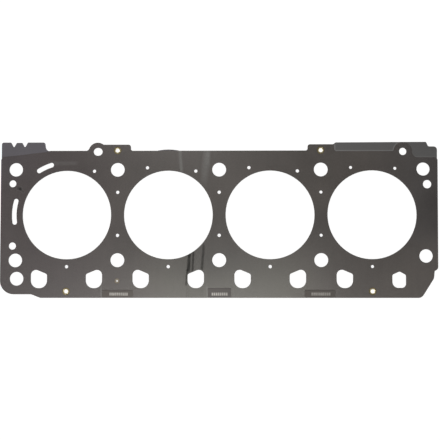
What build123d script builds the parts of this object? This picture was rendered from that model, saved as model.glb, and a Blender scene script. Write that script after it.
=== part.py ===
from build123d import *
import os
from math import atan2, cos, degrees, radians, sin, sqrt, tan

# Multi-layer steel cylinder head gasket for a four-cylinder diesel engine.
# Frame: +Z up, towards the cylinder head. X runs along the row of bores, from
# the notched tab end (-X) to the chamfered end (+X). The origin is midway
# between the second and third bores, on the flat underside of the lower sheet
# (the block deck plane). All lengths are in millimetres.

# ---------------------------------------------------------------- dimensions
# layer stack
t_sheet = 0.25          # upper and lower sheets, coating included
t_carrier = 0.90        # plain distance plate
t_stopper = 0.12        # stopper ring round each bore
h_bead = 0.25           # bore bead of the lower sheet, crest off its flat
h_coolant = 0.13        # coolant bead of the lower sheet
z_carrier = t_sheet
z_top = t_sheet + t_carrier
z_head = z_top + t_sheet

# bores
pitch = 110.0
bores = [(-1.5 * pitch, 0), (-0.5 * pitch, 0), (0.5 * pitch, 0), (1.5 * pitch, 0)]
r_bore = 48.0           # opening; the cylinder bore below it is 94 mm
r_stopper = 49.90       # outside of the stopper ring
r_rise = 50.05          # bore bead: foot, crest and outer foot
r_crest = 51.35
r_foot = 52.90
r_coolant = 61.50       # coolant bead centre line round each bore
r_cusp = 6.0            # coolant bead radius between two bores
w_coolant = 1.60        # half width of the coolant bead

# head bolts
r_bolt = 7.50
bolt_y = 49.0
mid_bolts = [(x, y) for x in (-pitch, 0, pitch) for y in (-bolt_y, bolt_y)]
left_bolts = [(-220.5, 49.2), (-220.5, -49.2)]
r_bolt_left, r_bolt_right = 7.35, 7.10
right_bolt = (220.4, 49.3)
right_dowel = (222.65, -44.65)
r_dowel = 7.20
left_oil = (-218.9, -69.0)
r_oil = 7.40

# medium passages: x, y, radius
passages = [
    (-224.0, 34.0, 3.80), (-223.85, -33.65, 3.90),
    (224.6, 32.9, 4.55), (198.7, 68.5, 3.95),
]
lug_hole = (-131.45, 68.65)
lug_hole_rx, lug_hole_ry = 4.85, 4.35

# small coolant metering holes
r_meter, r_meter_end = 1.80, 1.65    # smaller round the last bore
r_ring = 56.0           # distance from the bore centre
web_y_high, web_y_low = 24.5, -22.2

# curved coolant slots beside the first bore
slot_w = 5.1
slot_a = (56.8, 107.4, 122.4)   # radius about the bore, from angle, to angle
slot_b = (57.2, 164.7, 188.0)

# push-rod and oil-return windows
gallery_dx = 29.75      # from the bore centre
gallery_half = 8.80     # half width
gallery_low, gallery_high = -79.1, -56.65
gallery_slant = 22.9    # slope of the upper edge, falling towards the bore

# eyelets and rivet
eyelets = [(-110.2, 70.0), (110.0, 70.0), (-165.2, -82.6), (165.0, -82.6)]
r_shank, r_eye = 2.80, 2.10
r_flange, h_flange = 4.0, 0.25
h_seat, seat_gap = 0.05, 0.3    # each sheet is coined a little under the flanges
rivet = (-110.2, -71.4)
r_rivet_shank, r_rivet_flange, r_rivet_eye = 1.45, 2.7, 0.8

# label windows in the top sheet, open at the lower edge: x from, x to, y top
windows = [(-126.2, -93.0, -81.0), (-12.2, 12.9, -78.9), (91.9, 125.1, -80.9)]

# outline of the upper and lower sheets, clockwise, with a fillet radius per corner
sheet_outline = [
    ((-236.95, -85.75), 15.0),
    ((-236.95, 59.9), 0.8),
    ((-235.3, 63.3), 1.5),
    ((-217.0, 65.0), 30.0),
    ((-202.0, 66.9), 30.0),
    ((-189.0, 68.4), 12.0),
    ((-183.5, 69.75), 8.0),
    ((-137.0, 69.75), 0.0),
    ((-130.0, 76.4), 0.0),
    ((-95.85, 76.4), 2.6),
    ((-95.85, 69.7), 2.4),
    ((95.85, 69.7), 2.4),
    ((95.85, 76.45), 2.6),
    ((124.2, 76.45), 1.2),
    ((124.9, 68.95), 2.6),
    ((194.0, 68.95), 0.0),
    ((199.0, 76.0), 0.0),
    ((203.0, 62.1), 0.0),
    ((233.6, 62.1), 1.2),
    ((236.15, 59.7), 0.8),
    ((235.5, -59.0), 4.2),
    ((231.65, -60.8), 1.6),
    ((230.95, -68.7), 9.0),
    ((217.6, -89.7), 7.0),
    ((-193.1, -89.6), 3.0),
    ((-203.1, -85.75), 3.0),
]

# outline of the distance plate: the same, set in a little, with the notched
# thickness tab at the upper left and the handling strip at the upper right
plate_outline = [
    ((-236.4, -85.3), 14.6),
    ((-236.4, 78.95), 2.3),
    ((-226.3, 78.95), 0.9),
    ((-223.1, 73.2), 0.8),
    ((-220.1, 78.6), 0.9),
    ((-214.1, 78.6), 0.9),
    ((-211.15, 72.9), 1.1),
    ((-208.15, 78.95), 0.9),
    ((-189.2, 78.95), 2.3),
    ((-188.0, 69.35), 5.0),
    ((-137.0, 69.35), 0.0),
    ((-130.0, 76.0), 0.0),
    ((-96.25, 76.0), 2.4),
    ((-96.25, 69.3), 2.6),
    ((96.25, 69.3), 2.6),
    ((96.25, 76.1), 2.4),
    ((123.0, 76.2), 1.8),
    ((126.2, 78.45), 1.8),
    ((223.9, 78.85), 1.3),
    ((226.1, 73.9), 1.9),
    ((235.65, 73.8), 3.6),
    ((235.0, -58.7), 4.0),
    ((231.3, -60.5), 1.6),
    ((230.5, -68.8), 6.0),
    ((217.25, -89.05), 6.6),
    ((-193.2, -89.05), 3.0),
    ((-203.2, -85.3), 3.0),
]
lug_a = (-131.8, 68.7)      # lug round the oval hole
lug_b = (198.7, 68.75)      # lug round the upper right passage
r_lug = 9.9
hump = [(-69.5, 69.2), (-55.0, 71.05), (-40.5, 69.2)]

# ------------------------------------------------------------------ profiles
# Openings that run through every layer at one size.
with BuildSketch() as openings:
    with Locations(*bores):
        Circle(r_bore)
    with Locations(*mid_bolts):
        Circle(r_bolt)
    with Locations(*left_bolts):
        Circle(r_bolt_left)
    with Locations(right_bolt):
        Circle(r_bolt_right)
    with Locations(right_dowel):
        Circle(r_dowel)
    with Locations(left_oil):
        Circle(r_oil)
    for x, y, r in passages:
        with Locations((x, y)):
            Circle(r)
    with Locations(lug_hole):
        Ellipse(lug_hole_rx, lug_hole_ry)
    # metering holes round the bores, at their own angles
    for (x, y), angles in zip(bores, ((58, 270), (58, 114, 270), (58, 114, 270), (63.5, 114, 270))):
        for a in angles:
            with Locations((x + r_ring * cos(radians(a)), y + r_ring * sin(radians(a)))):
                Circle(r_meter_end if x == bores[3][0] else r_meter)
    for x in (-pitch, 0, pitch):
        with Locations((x, web_y_high), (x, web_y_low)):
            Circle(r_meter_end if x == pitch else r_meter)
    # curved slots beside the first bore
    for slot_r, a0, a1 in (slot_a, slot_b):
        with BuildLine(mode=Mode.PRIVATE) as slot_line:
            CenterArc(bores[0], slot_r, a0, a1 - a0)
        SlotArc(slot_line.edge(), slot_w)
    # push-rod windows: peaked on the side away from the bore, round below
    for x, y in bores:
        for side in (-1, 1):
            if (x, side) == (bores[3][0], 1):
                continue
            cx = x + side * gallery_dx
            with BuildLine():
                FilletPolyline(
                    (cx + side * gallery_half, gallery_low),
                    (cx + side * gallery_half, gallery_high),
                    (cx - side * gallery_half, gallery_high - 2 * gallery_half * tan(radians(gallery_slant))),
                    (cx - side * gallery_half, gallery_low),
                    radius=[8.2, 5.6, 2.6, 8.2],
                    close=True,
                )
            make_face()
    # the last window is smaller, with its peak in the middle
    with BuildLine():
        FilletPolyline(
            (200.9, -78.9), (200.9, -65.1), (194.1, -61.3), (186.25, -64.8), (186.25, -78.9),
            radius=[4.6, 2.2, 2.6, 2.2, 6.4],
            close=True,
        )
    make_face()

# The upper and lower sheets share one blank.
with BuildSketch() as sheet_blank:
    with BuildLine():
        FilletPolyline(*[p for p, r in sheet_outline], radius=[r for p, r in sheet_outline], close=True)
    make_face()
    with Locations(lug_a, lug_b):
        Circle(r_lug)
    lug_corners = [
        (lug_a[0] - sqrt(r_lug**2 - (69.75 - lug_a[1]) ** 2), 69.75, 3.8),
        (lug_a[0] + sqrt(r_lug**2 - (76.4 - lug_a[1]) ** 2), 76.4, 3.0),
        (lug_b[0] - sqrt(r_lug**2 - (68.95 - lug_b[1]) ** 2), 68.95, 1.6),
        (lug_b[0] + sqrt(r_lug**2 - (62.1 - lug_b[1]) ** 2), 62.1, 6.0),
    ]
    for x, y, r in lug_corners:
        fillet(sheet_blank.vertices().sort_by_distance((x, y, 0))[0], radius=r)

with BuildSketch() as plate_blank:
    with BuildLine():
        FilletPolyline(*[p for p, r in plate_outline], radius=[r for p, r in plate_outline], close=True)
    make_face()
    with Locations(lug_a):
        Circle(r_lug - 0.4)
    for x, y, r in [
        (lug_a[0] - sqrt((r_lug - 0.4) ** 2 - (69.35 - lug_a[1]) ** 2), 69.35, 4.0),
        (lug_a[0] + sqrt((r_lug - 0.4) ** 2 - (76.0 - lug_a[1]) ** 2), 76.0, 3.2),
    ]:
        fillet(plate_blank.vertices().sort_by_distance((x, y, 0))[0], radius=r)
    # low swell on the upper edge between the first and second bores
    with BuildLine():
        ThreePointArc(*hump)
        Line(hump[2], hump[0])
    make_face()

with BuildSketch() as fastener_holes:
    with Locations(*eyelets):
        Circle(r_shank)
    with Locations(rivet):
        Circle(r_rivet_shank)

with BuildSketch() as flange_seats:
    with Locations(*eyelets):
        Circle(r_flange + seat_gap)
    with Locations(rivet):
        Circle(r_rivet_flange + seat_gap)

with BuildSketch() as label_windows:
    for x0, x1, y1 in windows:
        with BuildLine():
            FilletPolyline(
                (x0, -95), (x0, y1), (x1, y1), (x1, -95),
                radius=[0, 1.2, 1.2, 0],
                close=True,
            )
        make_face()

# Coolant bead: one closed wave outside the metering holes. It follows an arc
# round each bore, and a small arc joins each pair of bores. The tangent points
# lie on the line from the bore centre to the small arc's centre.
cusp_y = sqrt((r_coolant + r_cusp) ** 2 - (pitch / 2) ** 2)
theta = degrees(atan2(cusp_y, pitch / 2))


def coolant_region(reach):
    """Area inside the coolant bead line after moving the line outwards by reach."""
    radius, cusp = r_coolant + reach, r_cusp - reach
    tx, ty = radius * cos(radians(theta)), radius * sin(radians(theta))
    with BuildSketch() as region:
        with BuildLine():
            ThreePointArc((bores[0][0] + tx, ty), (bores[0][0] - radius, 0), (bores[0][0] + tx, -ty))
            for i in (0, 1, 2):
                x, nx = bores[i][0], bores[i + 1][0]
                ThreePointArc((x + tx, -ty), ((x + nx) / 2, cusp - cusp_y), (nx - tx, -ty))
                if i < 2:
                    ThreePointArc((nx - tx, -ty), (nx, -radius), (nx + tx, -ty))
            ThreePointArc((bores[3][0] - tx, -ty), (bores[3][0] + radius, 0), (bores[3][0] - tx, ty))
            for i in (3, 2, 1):
                x, nx = bores[i][0], bores[i - 1][0]
                ThreePointArc((x - tx, ty), ((x + nx) / 2, cusp_y - cusp), (nx + tx, ty))
                if i > 1:
                    ThreePointArc((nx + tx, ty), (nx, radius), (nx - tx, ty))
        make_face()
    return region.sketch


coolant_outside = coolant_region(w_coolant)
coolant_inside = coolant_region(-w_coolant)


# Half section of the lower sheet round a bore: the lip that holds the stopper
# ring, the full bead, then the flat.
bead_foot = r_foot - 0.45
with BuildSketch(Plane.XZ) as bead_section:
    with BuildLine():
        bead_low = FilletPolyline(
            (r_bore, t_stopper), (r_rise, t_stopper), (r_crest, h_bead + 0.055), (bead_foot, 0), (r_foot, 0),
            radius=[1.6, 1.6, 1.6],
        )
        bead_high = FilletPolyline(
            (r_foot, t_sheet), (bead_foot, t_sheet), (r_crest, h_bead + 0.055 + t_sheet),
            (r_rise, t_stopper + t_sheet), (r_bore, t_stopper + t_sheet),
            radius=[1.6, 1.6, 1.6],
        )
        Line(bead_low @ 1, bead_high @ 0)
        Line(bead_high @ 1, bead_low @ 0)
    make_face()

with BuildSketch(Plane.XZ) as wave:
    with BuildLine():
        wave_low = FilletPolyline(
            (-w_coolant, 0), (-1.3, 0), (0, h_coolant + 0.03), (1.3, 0), (w_coolant, 0),
            radius=[2.0, 3.0, 2.0],
        )
        wave_high = FilletPolyline(
            (w_coolant, t_sheet), (1.3, t_sheet), (0, h_coolant + 0.03 + t_sheet), (-1.3, t_sheet), (-w_coolant, t_sheet),
            radius=[2.0, 3.0, 2.0],
        )
        Line(wave_low @ 1, wave_high @ 0)
        Line(wave_high @ 1, wave_low @ 0)
    make_face()
wave_profile = Plane.XZ.to_local_coords(wave.sketch)

# ------------------------------------------------------------ embossed forms
with BuildPart() as bore_bead:
    add(bead_section.sketch)
    revolve(axis=Axis.Z)

# arcs of the coolant bead: centre, radius, first angle, sweep
coolant_arcs = [(bores[0], r_coolant, theta, 360 - 2 * theta)]
coolant_arcs += [(bores[3], r_coolant, 180 + theta, 360 - 2 * theta)]
for b in bores[1:3]:
    coolant_arcs += [(b, r_coolant, theta, 180 - 2 * theta), (b, r_coolant, 180 + theta, 180 - 2 * theta)]
for x in (-pitch, 0, pitch):
    coolant_arcs += [((x, cusp_y), r_cusp, 180 + theta, 180 - 2 * theta), ((x, -cusp_y), r_cusp, theta, 180 - 2 * theta)]

with BuildPart() as coolant_bead:
    for (cx, cy), radius, start, sweep_angle in coolant_arcs:
        a = radians(start)
        with BuildSketch(Plane(origin=(cx, cy, 0), x_dir=(cos(a), sin(a), 0), z_dir=(sin(a), -cos(a), 0))):
            with Locations((radius, 0)):
                add(wave_profile)
        revolve(axis=Axis((cx, cy, 0), (0, 0, 1)), revolution_arc=sweep_angle)

# -------------------------------------------------------------------- pieces
# Upper sheet: flat, lies on the distance plate.
with BuildPart() as upper_sheet:
    with BuildSketch(Plane.XY.offset(z_top)):
        add(sheet_blank.sketch)
        add(openings.sketch, mode=Mode.SUBTRACT)
        add(fastener_holes.sketch, mode=Mode.SUBTRACT)
        add(label_windows.sketch, mode=Mode.SUBTRACT)
    extrude(amount=t_sheet)
    # coined seats under the flanges
    with BuildSketch(Plane.XY.offset(z_head - h_seat)):
        add(flange_seats.sketch)
    extrude(amount=h_seat, mode=Mode.SUBTRACT)
upper_sheet.part.label = "upper_sheet"

# Distance plate: plain steel, sets the thickness grade.
with BuildPart() as distance_plate:
    with BuildSketch(Plane.XY.offset(z_carrier)):
        add(plate_blank.sketch)
        add(openings.sketch, mode=Mode.SUBTRACT)
        add(fastener_holes.sketch, mode=Mode.SUBTRACT)
    extrude(amount=t_carrier)
distance_plate.part.label = "distance_plate"

# Lower sheet: the same blank without label windows, beads towards the block.
with BuildPart() as lower_sheet:
    with BuildSketch():
        add(sheet_blank.sketch)
        add(openings.sketch, mode=Mode.SUBTRACT)
        add(fastener_holes.sketch, mode=Mode.SUBTRACT)
        with Locations(*bores):
            Circle(r_foot, mode=Mode.SUBTRACT)
        add(coolant_outside - coolant_inside, mode=Mode.SUBTRACT)
    extrude(amount=t_sheet)
    with Locations(*[(x, y, t_sheet) for x, y in bores]):
        add(bore_bead.part.mirror(Plane.XY))
    with Locations((0, 0, t_sheet)):
        add(coolant_bead.part.mirror(Plane.XY))
    with BuildSketch():
        add(flange_seats.sketch)
    extrude(amount=h_seat, mode=Mode.SUBTRACT)
lower_sheet.part.label = "lower_sheet"

# Stopper rings: shims round the bores, between the plate and the lower sheet.
stoppers = []
for number, (x, y) in enumerate(bores, 1):
    with BuildPart() as stopper:
        with BuildSketch(Plane.XY.offset(z_carrier - t_stopper)):
            with Locations((x, y)):
                Circle(r_stopper)
                Circle(r_bore, mode=Mode.SUBTRACT)
        extrude(amount=t_stopper)
    stopper.part.label = f"stopper_ring_{number}"
    stoppers.append(stopper)

# Hollow eyelets: shank through all three layers, flange above and below.
z_seat_low, z_seat_high = h_seat, z_head - h_seat


def eyelet_section(eye, shank, flange, clinch):
    """Half section of a hollow eyelet, with rolled mouths at both ends."""
    with BuildSketch(Plane.XZ) as section:
        with BuildLine():
            FilletPolyline(
                (shank, z_seat_low),
                (shank, z_seat_high),
                (flange, z_seat_high),
                (flange, z_seat_high + h_flange),
                (eye, z_seat_high + h_flange),
                (eye, z_seat_low - h_flange),
                (clinch, z_seat_low - h_flange),
                (clinch, z_seat_low),
                radius=[0, 0, 0.08, 0.15, 0.4, 0.4, 0.12, 0.08],
                close=True,
            )
        make_face()
    return section.sketch


fasteners = []
for number, (x, y) in enumerate(eyelets, 1):
    with BuildPart() as eyelet:
        add(eyelet_section(r_eye, r_shank, r_flange, r_flange - 0.4).moved(Location((x, y, 0))))
        revolve(axis=Axis((x, y, 0), (0, 0, 1)))
    eyelet.part.label = f"eyelet_{number}"
    fasteners.append(eyelet)

# Small tubular rivet between the first and second cylinders.
with BuildPart() as centre_rivet:
    add(eyelet_section(r_rivet_eye, r_rivet_shank, r_rivet_flange, r_rivet_flange - 0.3).moved(Location((*rivet, 0))))
    revolve(axis=Axis((*rivet, 0), (0, 0, 1)))
centre_rivet.part.label = "centre_rivet"
fasteners.append(centre_rivet)

# -------------------------------------------------------------------- export
os.makedirs("parts", exist_ok=True)
for piece in [upper_sheet, distance_plate, lower_sheet, *stoppers, *fasteners]:
    export_step(piece.part, f"parts/{piece.part.label}.step")
    print(piece.part.label, len(piece.part.solids()), round(piece.part.volume, 1), piece.part.is_valid)
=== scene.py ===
import math

import bpy
from mathutils import Matrix, Vector


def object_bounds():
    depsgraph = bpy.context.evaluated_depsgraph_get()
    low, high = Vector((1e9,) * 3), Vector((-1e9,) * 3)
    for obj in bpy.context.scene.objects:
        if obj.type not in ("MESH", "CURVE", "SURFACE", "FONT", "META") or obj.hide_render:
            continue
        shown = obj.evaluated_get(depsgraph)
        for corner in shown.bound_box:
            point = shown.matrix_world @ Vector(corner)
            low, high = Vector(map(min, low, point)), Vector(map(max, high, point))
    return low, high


# Looks for a multi-layer steel head gasket. Metres, in the CAD frame: X along
# the bores, Y across, Z up towards the cylinder head, z = 0 on the flat of the
# lower sheet.

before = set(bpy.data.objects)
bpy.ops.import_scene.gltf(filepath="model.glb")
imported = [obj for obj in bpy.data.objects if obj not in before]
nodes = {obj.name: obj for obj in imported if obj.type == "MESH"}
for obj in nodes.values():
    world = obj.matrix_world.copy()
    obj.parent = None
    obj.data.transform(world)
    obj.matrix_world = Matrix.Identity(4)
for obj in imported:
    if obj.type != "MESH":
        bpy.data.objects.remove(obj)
cad_lo, cad_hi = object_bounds()
scene = bpy.context.scene

MM = 0.001


# ------------------------------------------------------------- node helpers
class Tree:
    """Small wrapper that makes shader nodes and returns their output sockets."""

    def __init__(self, name):
        self.mat = bpy.data.materials.new(name)
        self.mat.use_nodes = True
        self.nt = self.mat.node_tree
        self.nt.nodes.clear()
        self.out = self.nt.nodes.new("ShaderNodeOutputMaterial")
        self.bsdf = self.nt.nodes.new("ShaderNodeBsdfPrincipled")
        self.nt.links.new(self.bsdf.outputs["BSDF"], self.out.inputs["Surface"])
        geo = self.nt.nodes.new("ShaderNodeNewGeometry")
        self.normal = geo.outputs["Normal"]
        coord = self.nt.nodes.new("ShaderNodeTexCoord")
        # object coordinates in millimetres
        self.mm = self.vec("SCALE", coord.outputs["Object"], scale=1000.0)
        sep = self.nt.nodes.new("ShaderNodeSeparateXYZ")
        self.nt.links.new(self.mm, sep.inputs[0])
        self.x, self.y, self.z = sep.outputs

    def put(self, value, socket):
        if isinstance(value, bpy.types.NodeSocket):
            self.nt.links.new(value, socket)
        elif value is not None:
            socket.default_value = value

    def math(self, op, a, b=None, c=None, clamp=False):
        n = self.nt.nodes.new("ShaderNodeMath")
        n.operation = op
        n.use_clamp = clamp
        for v, s in zip((a, b, c), n.inputs):
            self.put(v, s)
        return n.outputs[0]

    def vec(self, op, a, b=None, scale=None):
        n = self.nt.nodes.new("ShaderNodeVectorMath")
        n.operation = op
        self.put(a, n.inputs[0])
        self.put(b, n.inputs[1])
        if scale is not None:
            n.inputs["Scale"].default_value = scale
        return n.outputs["Value"] if op in ("LENGTH", "DISTANCE", "DOT_PRODUCT") else n.outputs["Vector"]

    def add(self, a, b):
        return self.math("ADD", a, b)

    def mul(self, a, b):
        return self.math("MULTIPLY", a, b)

    def maximum(self, *values):
        out = values[0]
        for v in values[1:]:
            out = self.math("MAXIMUM", out, v)
        return out

    def ramp(self, value, lo, hi, to_lo=0.0, to_hi=1.0, smooth=True):
        """Value mapped from lo..hi to to_lo..to_hi, clamped."""
        n = self.nt.nodes.new("ShaderNodeMapRange")
        n.interpolation_type = "SMOOTHSTEP" if smooth else "LINEAR"
        n.clamp = True
        self.put(value, n.inputs["Value"])
        for key, v in (("From Min", lo), ("From Max", hi), ("To Min", to_lo), ("To Max", to_hi)):
            n.inputs[key].default_value = v
        return n.outputs["Result"]

    def noise(self, scale, detail=2.0, roughness=0.5, stretch=(1, 1, 1), offset=(0, 0, 0), distortion=0.0):
        """Noise 0..1 with features of about 1/scale millimetres."""
        v = self.vec("MULTIPLY", self.mm, tuple(stretch))
        v = self.vec("ADD", v, tuple(offset))
        n = self.nt.nodes.new("ShaderNodeTexNoise")
        n.inputs["Scale"].default_value = scale
        n.inputs["Detail"].default_value = detail
        n.inputs["Roughness"].default_value = roughness
        n.inputs["Distortion"].default_value = distortion
        self.put(v, n.inputs["Vector"])
        return n.outputs["Fac"]

    def mix(self, fac, a, b):
        n = self.nt.nodes.new("ShaderNodeMix")
        n.data_type = "RGBA"
        self.put(fac, n.inputs["Factor"])
        for v, i in ((a, 6), (b, 7)):
            if isinstance(v, (tuple, list)):
                v = (*v, 1.0) if len(v) == 3 else v
            self.put(v, n.inputs[i])
        return n.outputs[2]

    def mixf(self, fac, a, b):
        n = self.nt.nodes.new("ShaderNodeMix")
        n.data_type = "FLOAT"
        self.put(fac, n.inputs["Factor"])
        self.put(a, n.inputs[2])
        self.put(b, n.inputs[3])
        return n.outputs[0]

    def shade(self, color, factor):
        """Colour times a scalar."""
        n = self.nt.nodes.new("ShaderNodeVectorMath")
        n.operation = "SCALE"
        self.put(color, n.inputs[0])
        self.put(factor, n.inputs["Scale"])
        return n.outputs["Vector"]

    # masks in millimetres, 1 inside and 0 outside, with a soft edge
    def band(self, v, lo, hi, soft):
        a = self.ramp(v, lo - soft, lo + soft)
        b = self.ramp(v, hi - soft, hi + soft, 1.0, 0.0)
        return self.mul(a, b)

    def rect(self, x0, x1, y0, y1, soft=0.3):
        return self.mul(self.band(self.x, x0, x1, soft), self.band(self.y, y0, y1, soft))

    def radius(self, cx, cy):
        """Distance from a point, in plan."""
        dx = self.math("SUBTRACT", self.x, cx)
        dy = self.math("SUBTRACT", self.y, cy)
        return self.math("SQRT", self.add(self.mul(dx, dx), self.mul(dy, dy)))

    def stroke(self, a, b, width, soft, fade=4.0):
        """1 on a straight stroke from a to b (millimetres), 0 off it. It fades out at both ends."""
        (ax, ay), (bx, by) = a, b
        length = math.hypot(bx - ax, by - ay)
        ux, uy = (bx - ax) / length, (by - ay) / length
        dx = self.math("SUBTRACT", self.x, ax)
        dy = self.math("SUBTRACT", self.y, ay)
        along = self.add(self.mul(dx, ux), self.mul(dy, uy))
        across = self.math("ABSOLUTE", self.math("SUBTRACT", self.mul(dx, uy), self.mul(dy, ux)))
        side = self.ramp(across, width / 2 - soft, width / 2 + soft, 1.0, 0.0)
        return self.mul(side, self.band(along, 0.0, length, fade))

    def total(self, *values):
        out = values[0]
        for v in values[1:]:
            out = self.add(out, v)
        return out

    def bump(self, height, strength, distance, normal=None):
        n = self.nt.nodes.new("ShaderNodeBump")
        n.inputs["Strength"].default_value = strength
        n.inputs["Distance"].default_value = distance
        self.put(height, n.inputs["Height"])
        if normal is not None:
            self.put(normal, n.inputs["Normal"])
        return n.outputs["Normal"]

    def upright(self):
        """1 on faces that stand up, such as cut edges, 0 on faces that lie flat."""
        sep = self.nt.nodes.new("ShaderNodeSeparateXYZ")
        self.nt.links.new(self.normal, sep.inputs[0])
        return self.ramp(self.math("ABSOLUTE", sep.outputs[2]), 0.35, 0.75, 1.0, 0.0)

    def facing_up(self):
        sep = self.nt.nodes.new("ShaderNodeSeparateXYZ")
        self.nt.links.new(self.normal, sep.inputs[0])
        return self.ramp(sep.outputs[2], 0.0, 0.4)


# ---------------------------------------------------------------- materials
def coated_sheet():
    """Spring steel with a thin dark elastomer coat, satin. Cut edges show steel."""
    t = Tree("gasket_coat")
    cloud = t.noise(0.022, 3.0, 0.55, offset=(31, 7, 0))
    roll = t.noise(0.11, 3.0, 0.6, stretch=(1, 0.10, 1), offset=(5, 11, 0))
    grain = t.noise(1.6, 3.0, 0.6)
    fine = t.noise(3.2, 2.0, 0.5)
    top = t.facing_up()
    # the coat leans to purple at the tab end and to olive by the middle of the lower edge
    purple = t.ramp(t.x, -210.0, -40.0, 1.0, 0.0)
    olive = t.mul(t.band(t.x, -75.0, 95.0, 40.0), t.ramp(t.y, -80.0, -15.0, 1.0, 0.0))
    color = t.mix(purple, (0.0933, 0.0816, 0.0742), (0.0930, 0.0768, 0.0778))
    color = t.mix(olive, color, (0.0925, 0.0888, 0.0718))
    color = t.mix(t.mul(t.ramp(t.x, 140.0, 225.0), t.ramp(t.y, -70.0, 0.0)), color, (0.0912, 0.0832, 0.0815))
    color = t.mix(t.mul(t.ramp(t.x, -228.0, -185.0, 1.0, 0.0), t.ramp(t.y, 25.0, 60.0)), color, (0.0920, 0.0770, 0.0840))
    value = t.total(t.ramp(cloud, 0.3, 0.7, 0.99, 1.07), t.ramp(roll, 0.3, 0.7, -0.025, 0.025), t.ramp(grain, 0.25, 0.75, -0.08, 0.08), t.ramp(fine, 0.3, 0.7, -0.06, 0.06))
    # paler in soft round fields on the first web, along the lower edge and at the lower right, darker below the
    # middle web and on the third.
    # The paler fields and the band along the lower edge are painted sheen of the lights; the dark fields below
    # the middle web, beside the creases, are painted shade.
    value = t.total(
        value,
        t.ramp(t.radius(-110.0, 5.0), 8.0, 60.0, 0.16, 0.0),
        t.ramp(t.radius(2.0, -36.0), 10.0, 48.0, -0.22, 0.0),
        t.ramp(t.radius(108.0, -10.0), 8.0, 40.0, -0.15, 0.0),
        t.ramp(t.radius(216.0, -66.0), 12.0, 56.0, 0.18, 0.0),
        t.ramp(t.radius(236.0, 4.0), 8.0, 36.0, -0.22, 0.0),
        t.ramp(t.radius(229.0, -38.0), 5.0, 20.0, 0.12, 0.0),
        t.ramp(t.radius(-204.0, 62.0), 6.0, 28.0, 0.15, 0.0),
        t.ramp(t.radius(22.0, 32.0), 6.0, 44.0, 0.19, 0.0),
        t.ramp(t.radius(108.0, 17.0), 5.0, 26.0, 0.18, 0.0),
        t.ramp(t.radius(165.0, 60.0), 12.0, 52.0, 0.11, 0.0),
        t.ramp(t.radius(84.0, -82.0), 12.0, 58.0, 0.20, 0.0),
        t.ramp(t.radius(180.0, -88.0), 6.0, 36.0, 0.15, 0.0),
        t.ramp(t.radius(-66.0, -86.0), 8.0, 44.0, 0.13, 0.0),
        t.ramp(t.radius(-102.0, -28.0), 6.0, 32.0, -0.14, 0.0),
        t.ramp(t.radius(-20.0, -56.0), 8.0, 32.0, -0.18, 0.0),
        # painted sheen: paler along the middle of the lower edge, where the lights' bright lobe falls
        t.mul(t.ramp(t.y, -80.0, -56.0, 0.11, 0.0), t.band(t.x, -95.0, 110.0, 40.0)),
    )
    # pale streaks: two down from the upper edge are painted reflections, glints of the lights on the slightly
    # wavy sheet;
    # one beside the first slot; short ones by the label windows are painted highlights on the windows' cut
    # edges
    pale = t.total(
        t.mul(t.stroke((-42.9, 74.0), (-40.7, 46.0), 3.0, 1.2), 1.14),
        t.mul(t.stroke((-12.6, 74.0), (-16.6, 36.0), 6.6, 2.6, 12.0), 0.78),
        t.mul(t.stroke((-11.6, 74.0), (-12.3, 54.0), 3.4, 1.6, 6.0), 0.50),
        t.mul(t.stroke((-184.0, 56.1), (-155.0, 56.1), 3.8, 1.2, 4.0), 0.46),
        t.mul(t.stroke((-127.5, -77.0), (-126.9, -95.0), 1.6, 0.7, 5.0), 1.10),
        t.mul(t.stroke((-12.9, -79.0), (-12.2, -96.0), 1.9, 0.8, 4.0), 1.00),
    )
    # painted shade along creases running from the second bore to the window below it, where the bent coat turns
    # from the lights, and a dark smudge
    dark = t.total(
        t.mul(t.stroke((-32.2, -39.0), (-33.4, -62.0), 3.2, 0.8, 3.0), 0.86),
        t.mul(t.stroke((-34.6, -59.0), (-35.7, -76.0), 1.8, 0.7, 2.5), 0.60),
        t.mul(t.stroke((-27.7, -39.0), (-28.8, -62.0), 2.1, 0.8, 3.0), 0.74),
        t.mul(t.stroke((-30.0, -39.0), (-31.2, -62.0), 2.4, 1.2, 3.0), 0.14),
        t.mul(t.stroke((-16.6, -31.0), (-18.7, -60.0), 2.9, 1.2, 4.0), 0.60),
        t.mul(t.stroke((-18.5, -78.0), (-18.5, -92.0), 2.0, 1.0, 3.0), 0.08),
        t.mul(t.stroke((-34.0, -78.0), (-34.0, -92.0), 2.4, 1.2, 3.0), 0.08),
        t.mul(t.stroke((-219.4, 29.6), (-214.6, 28.2), 4.2, 1.4, 1.5), 0.75),
        t.mul(t.stroke((-216.4, 28.6), (-211.8, 24.4), 2.2, 1.2, 1.2), 0.55),
    )
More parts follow.
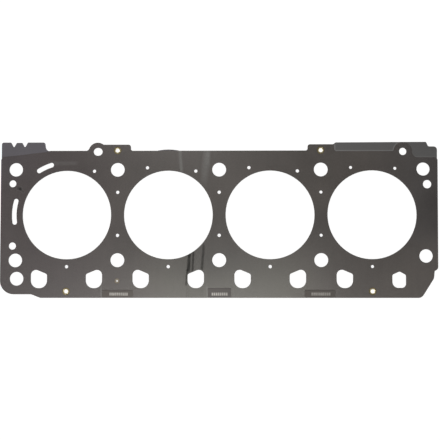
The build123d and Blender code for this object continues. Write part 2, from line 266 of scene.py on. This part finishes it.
    # the painted reflections, highlights and crease shade are broken up, so that no mark is even along its
    # length
    mark_breakup = t.ramp(t.noise(0.35, 3.0, 0.6, offset=(0, 3, 9)), 0.25, 0.75, 0.75, 1.20)
    pale = t.mul(t.mul(pale, mark_breakup), top)
    dark = t.mul(t.mul(dark, mark_breakup), top)
    value = t.mul(value, t.ramp(dark, 0.0, 1.0, 1.0, 0.20, smooth=False))
    color = t.shade(color, value)
    color = t.mix(t.ramp(pale, 0.0, 1.2, 0.0, 0.60, smooth=False), color, (0.255, 0.256, 0.246))
    edge = t.upright()
    steel = t.shade((0.085, 0.082, 0.080), t.ramp(grain, 0.2, 0.8, 0.8, 1.15))
    t.put(t.mix(edge, color, steel), t.bsdf.inputs["Base Color"])
    rough = t.ramp(t.add(t.mul(cloud, 0.6), t.mul(grain, 0.4)), 0.3, 0.7, 0.235, 0.265)
    rough = t.add(rough, t.mul(dark, 0.35))
    t.put(t.mixf(edge, rough, 0.42), t.bsdf.inputs["Roughness"])
    t.put(t.mul(edge, 0.9), t.bsdf.inputs["Metallic"])
    t.bsdf.inputs["Specular IOR Level"].default_value = 0.5
    t.put(t.bump(t.add(t.mul(grain, 0.6), t.mul(fine, 0.4)), 0.12, 0.00004), t.bsdf.inputs["Normal"])
    return t.mat


# The label windows show the plate. Their marks run from x to x, at this strength.
WINDOW_MARKS = ((-118.6, -98.4, 0.90), (-8.4, 9.2, 1.0), (99.0, 119.8, 0.62))


def bare_plate():
    """Cold-rolled distance plate: dull grey, faint rolling lines, pale marks in the label windows."""
    t = Tree("plate_steel")
    cloud = t.noise(0.03, 3.0, 0.55, offset=(3, 40, 0))
    lines = t.noise(0.9, 3.0, 0.65, stretch=(0.035, 1, 1))
    grain = t.noise(2.2, 3.0, 0.6)
    top = t.facing_up()
    value = t.total(t.ramp(cloud, 0.3, 0.7, 0.95, 1.05), t.ramp(lines, 0.25, 0.75, -0.05, 0.05), t.ramp(grain, 0.2, 0.8, -0.03, 0.03))
    # bright margin where the coated sheet stops, along the strip and round its two ends: partly bare steel,
    # partly a painted highlight where the sheet's cut edge catches the light
    bare_margin_glint = t.maximum(
        t.mul(t.band(t.y, 68.2, 70.05, 0.35), t.band(t.x, 124.0, 190.5, 0.6)),
        t.mul(t.band(t.x, 124.0, 126.0, 0.4), t.band(t.y, 69.5, 76.5, 0.6)),
        t.mul(t.mul(t.ramp(t.radius(198.7, 68.75), 10.7, 11.5, 1.0, 0.0), t.ramp(t.x, 197.0, 199.0, 1.0, 0.0)), t.ramp(t.y, 68.5, 70.0)),
        t.mul(t.mul(t.band(t.y, 61.5, 63.4, 0.5), t.band(t.x, 208.0, 235.0, 1.5)), 0.35),
    )
    # generic marks: a row of plain upright ticks in each label window
    marks = None
    for m0, m1, strength in WINDOW_MARKS:
        count = round((m1 - m0) / 2.1)
        pitch = (m1 - m0) / count
        phase = t.math("FRACT", t.mul(t.math("SUBTRACT", t.x, m0), 1.0 / pitch))
        tick = t.mul(t.band(phase, 0.13, 0.87, 0.12), t.rect(m0, m1, -87.1, -84.0, 0.30))
        tick = t.mul(tick, strength)
        marks = tick if marks is None else t.add(marks, tick)
    marks = t.mul(t.mul(marks, t.ramp(t.noise(0.35, 2.0, 0.5), 0.3, 0.7, 0.65, 1.0)), top)
    bare_margin_glint = t.mul(bare_margin_glint, top)
    base = t.mix(t.ramp(t.x, -180.0, 130.0), (0.1540, 0.1480, 0.1655), (0.1700, 0.1700, 0.1710))
    # behind the label windows it is browner
    base = t.mix(t.ramp(t.y, -70.0, -40.0, 1.0, 0.0), base, (0.1720, 0.1600, 0.1500))
    base = t.mix(t.ramp(t.radius(0.0, -84.0), 16.0, 24.0, 1.0, 0.0), base, (0.1740, 0.1650, 0.1600))
    base = t.shade(base, t.ramp(t.radius(108.0, -86.0), 22.0, 34.0, 0.88, 1.0))
    # painted shadow of the coated sheet's cut edge, just under the upper edge of each window
    window_edge_shadow = t.maximum(
        t.rect(-127.0, -92.0, -82.3, -80.6, 0.35),
        t.rect(-13.0, 13.5, -80.2, -78.5, 0.35),
        t.rect(91.0, 126.0, -82.2, -80.5, 0.35),
    )
    # darkened by the painted edge shadow under each window's upper edge, then brightened by the margin with its
    # painted highlight
    value = t.mul(value, t.ramp(window_edge_shadow, 0.0, 1.0, 1.0, 0.82, smooth=False))
    color = t.shade(base, t.mul(value, t.add(t.mul(bare_margin_glint, 0.45), 1.0)))
    color = t.mix(marks, color, (0.64, 0.63, 0.60))
    color = t.mix(t.upright(), color, (0.075, 0.075, 0.077))
    t.put(color, t.bsdf.inputs["Base Color"])
    t.bsdf.inputs["Metallic"].default_value = 1.0
    t.put(t.ramp(t.add(t.mul(lines, 0.5), t.mul(cloud, 0.5)), 0.3, 0.7, 0.50, 0.60), t.bsdf.inputs["Roughness"])
    t.put(t.bump(lines, 0.10, 0.00003), t.bsdf.inputs["Normal"])
    return t.mat


def stopper_shim():
    t = Tree("shim_steel")
    lines = t.noise(1.2, 2.0, 0.6, stretch=(0.05, 1, 1))
    t.put(t.shade((0.42, 0.42, 0.42), t.ramp(lines, 0.25, 0.75, 0.92, 1.08)), t.bsdf.inputs["Base Color"])
    t.bsdf.inputs["Metallic"].default_value = 1.0
    t.put(t.ramp(lines, 0.3, 0.7, 0.30, 0.38), t.bsdf.inputs["Roughness"])
    return t.mat


EYELETS = ((-110.2, 70.0), (110.0, 70.0), (-165.2, -82.6), (165.0, -82.6))
RIVET = (-110.2, -71.4)


def rolled_brass():
    """Eyelets: pale brass on the rolled mouth and in the bore, partly polished brass and partly a painted
    highlight where the rolled mouth catches the light; dull olive on the flange.
    """
    t = Tree("eyelet_brass")
    grain = t.noise(2.5, 3.0, 0.6)
    r = None
    for cx, cy in EYELETS:
        one = t.radius(cx, cy)
        r = one if r is None else t.math("MINIMUM", r, one)
    dull = t.ramp(t.add(r, t.ramp(grain, 0.3, 0.7, -0.12, 0.12)), 2.42, 2.80)
    color = t.mix(dull, (0.74, 0.68, 0.48), (0.148, 0.124, 0.064))
    t.put(t.shade(color, t.ramp(grain, 0.25, 0.75, 0.85, 1.15)), t.bsdf.inputs["Base Color"])
    t.bsdf.inputs["Metallic"].default_value = 1.0
    t.put(t.mixf(dull, 0.22, t.ramp(grain, 0.25, 0.75, 0.34, 0.48)), t.bsdf.inputs["Roughness"])
    t.put(t.bump(grain, 0.15, 0.00005), t.bsdf.inputs["Normal"])
    return t.mat


def dull_rivet():
    """Centre rivet: grey-brown flange, brighter at the small bore."""
    t = Tree("rivet_steel")
    grain = t.noise(2.5, 3.0, 0.6)
    dull = t.ramp(t.radius(*RIVET), 1.15, 1.6)
    color = t.mix(dull, (0.33, 0.31, 0.27), (0.165, 0.145, 0.112))
    t.put(t.shade(color, t.ramp(grain, 0.25, 0.75, 0.85, 1.15)), t.bsdf.inputs["Base Color"])
    t.bsdf.inputs["Metallic"].default_value = 1.0
    t.put(t.ramp(grain, 0.25, 0.75, 0.34, 0.46), t.bsdf.inputs["Roughness"])
    t.put(t.bump(grain, 0.15, 0.00005), t.bsdf.inputs["Normal"])
    return t.mat


def pale_floor():
    """White sweep that glows a little, like the lit backing of a studio shot."""
    t = Tree("pale_floor")
    t.bsdf.inputs["Base Color"].default_value = (0.30, 0.30, 0.30, 1.0)
    t.bsdf.inputs["Roughness"].default_value = 0.9
    t.bsdf.inputs["Specular IOR Level"].default_value = 0.0
    t.bsdf.inputs["Emission Color"].default_value = (1.0, 1.0, 1.0, 1.0)
    t.bsdf.inputs["Emission Strength"].default_value = 0.90
    return t.mat


coat, plate, shim, brass, rivet = coated_sheet(), bare_plate(), stopper_shim(), rolled_brass(), dull_rivet()


def give(node, material):
    mesh = nodes[node].data
    if not mesh.materials:
        mesh.materials.append(material)
    for i in range(len(mesh.materials)):
        mesh.materials[i] = material


for name in ("upper_sheet", "lower_sheet"):
    give(name, coat)
give("distance_plate", plate)
for i in range(1, 5):
    give(f"stopper_ring_{i}", shim)
    give(f"eyelet_{i}", brass)
give("centre_rivet", rivet)

# -------------------------------------------------------------------- stage
z_floor = cad_lo.z
bpy.ops.mesh.primitive_plane_add(size=8.0, location=(0, 0, z_floor))
floor = bpy.context.active_object
floor.name = "floor"
floor.data.materials.append(pale_floor())

# ------------------------------------------------------------------- camera
ROT = Matrix.Rotation(math.radians(0.0613), 3, "Z") @ Matrix.Rotation(math.radians(-0.754), 3, "Y") @ Matrix.Rotation(math.radians(-3.163), 3, "X")
T = Vector((-0.90, 5.67, -1119.76)) * MM
cam_data = bpy.data.cameras.new("camera")
cam_data.sensor_width = 36.0
cam_data.lens = 36.0 * 1036.0 / 440.0
cam_data.clip_start = 0.01
cam = bpy.data.objects.new("camera", cam_data)
scene.collection.objects.link(cam)
place = -(ROT.transposed() @ T) + Vector((0, 0, 1.40 * MM))
cam.matrix_world = Matrix.Translation(place) @ ROT.transposed().to_4x4()
scene.camera = cam


# ------------------------------------------------------------------- lights
def area(name, where, size, watts, aim=(0, 0, 0), tint=(1, 1, 1)):
    data = bpy.data.lights.new(name, "AREA")
    data.shape = "RECTANGLE"
    data.size, data.size_y = size
    data.energy = watts
    data.color = tint
    o = bpy.data.objects.new(name, data)
    scene.collection.objects.link(o)
    o.location = where
    o.rotation_euler = (Vector(aim) - Vector(where)).to_track_quat("-Z", "Y").to_euler()
    return o


# Ceiling panels, which the satin coat mirrors softly. Their places give the long
# bright patch at the middle of the lower edge and the paler left end.
WARM = (1.03, 1.0, 0.965)
for i, (x, y, watts) in enumerate((
    (-0.75, -0.30, 1.0), (-0.45, -0.30, 2.1), (-0.15, -0.30, 3.2), (0.15, -0.30, 3.8), (0.75, -0.30, 1.3),
    (-1.35, 0.60, 7.4), (-0.45, 0.60, 0.4), (-0.15, 0.60, 2.9), (0.45, 0.60, 0.6), (-1.05, 0.0, 0.8),
)):
    area(f"panel_{i}", (x, y, 2.5), (0.3, 0.3), watts, aim=(x, y, 0), tint=WARM)

world = bpy.data.worlds.new("studio")
scene.world = world
world.use_nodes = True
# A white room with a dark ceiling, plain white where the camera sees it.
wt = world.node_tree
background = wt.nodes["Background"]
background.inputs["Color"].default_value = (1, 1, 1, 1)
direction = wt.nodes.new("ShaderNodeTexCoord").outputs["Generated"]
split = wt.nodes.new("ShaderNodeSeparateXYZ")
wt.links.new(direction, split.inputs[0])
walls = wt.nodes.new("ShaderNodeMapRange")
walls.interpolation_type = "SMOOTHSTEP"
for key, v in (("From Min", 0.25), ("From Max", 0.80), ("To Min", 0.75), ("To Max", 0.0)):
    walls.inputs[key].default_value = v
wt.links.new(split.outputs[2], walls.inputs["Value"])
rays = wt.nodes.new("ShaderNodeLightPath")
pick = wt.nodes.new("ShaderNodeMix")
pick.data_type = "FLOAT"
wt.links.new(rays.outputs["Is Camera Ray"], pick.inputs["Factor"])
wt.links.new(walls.outputs["Result"], pick.inputs[2])
pick.inputs[3].default_value = 1.15
wt.links.new(pick.outputs[0], background.inputs["Strength"])

scene.view_settings.view_transform = "Standard"
scene.view_settings.look = "None"
scene.view_settings.exposure = 0.0
scene.view_settings.gamma = 1.0
